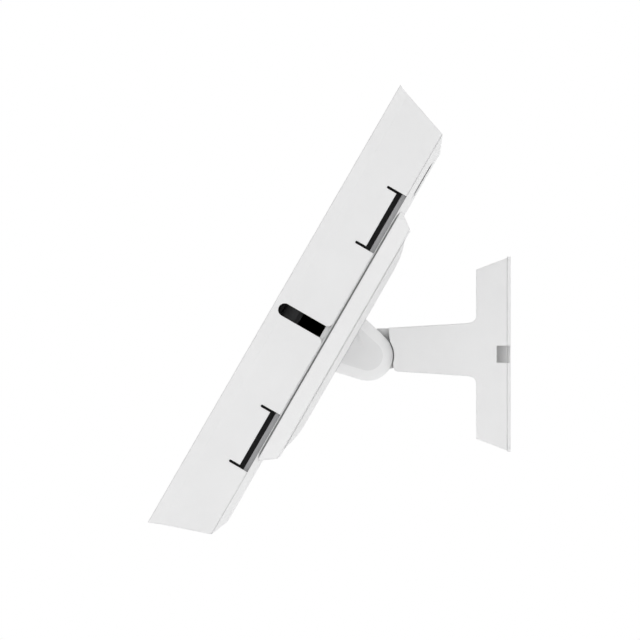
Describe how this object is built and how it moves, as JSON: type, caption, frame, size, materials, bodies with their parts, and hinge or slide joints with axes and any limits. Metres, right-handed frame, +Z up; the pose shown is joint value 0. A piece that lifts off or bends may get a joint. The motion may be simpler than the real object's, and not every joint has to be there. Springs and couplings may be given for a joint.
{
  "type": "tablet wall mount",
  "caption": "White sheet-metal tablet case with a window and a cable slot, on a tilting, swivelling head and a T-shaped cast wall arm.",
  "frame": {"origin": "centre of the wall plate's back face, on the wall", "axes": "+Y into the wall, +Z up, +X to the right of someone facing the tablet"},
  "size_m": [0.3, 0.1635, 0.2021],
  "materials": {
    "white_sheet": "fine satin powder coat",
    "white_casting": "satin powder coat on cast aluminium",
    "white_plastic": "satin moulded plastic",
    "black_plastic": "fine grained",
    "black_foam": "closed-cell foam",
    "zinc_steel": "bright zinc plated",
    "dark_steel": "black oxide",
    "glide_plastic": "slippery acetal",
    "brass": "turned"
  },
  "bodies": {
    "wall_arm": {"wall_plate": "white_sheet", "plate_nuts": "zinc_steel", "arm_housing": "white_casting", "housing_screws": "zinc_steel"},
    "tilt_head": {"swivel_head": "white_casting", "tilt_bolt": "dark_steel", "tilt_nut": "zinc_steel", "spring_washer": "zinc_steel", "friction_washers": "glide_plastic", "right_ear_cover": "white_plastic", "left_ear_cover": "white_plastic", "swivel_retainer": "zinc_steel", "retainer_screws": "dark_steel"},
    "case": {"rear_bracket": "white_casting", "glide_ring": "glide_plastic", "bracket_screws": "zinc_steel", "bracket_nuts": "zinc_steel", "rear_panel": "white_sheet", "case_screws": "zinc_steel", "case_inserts": "brass", "cradle": "black_plastic", "cradle_screws": "zinc_steel", "cradle_inserts": "brass", "cradle_pads": "black_foam", "bezel_foam": "black_foam", "front_shell": "white_sheet"}
  },
  "joints": [
    {"name": "tilt", "type": "hinge", "parent": "wall_arm", "child": "tilt_head", "pos_m": [0, -0.0647, -0.0007], "axis": [1, 0, 0], "range_deg": [-15, 30]},
    {"name": "swivel", "type": "hinge", "parent": "tilt_head", "child": "case", "pos_m": [0, -0.06505, -0.00131], "axis": [0, 0.866, -0.5], "range_deg": [-90, 90]}
  ]
}
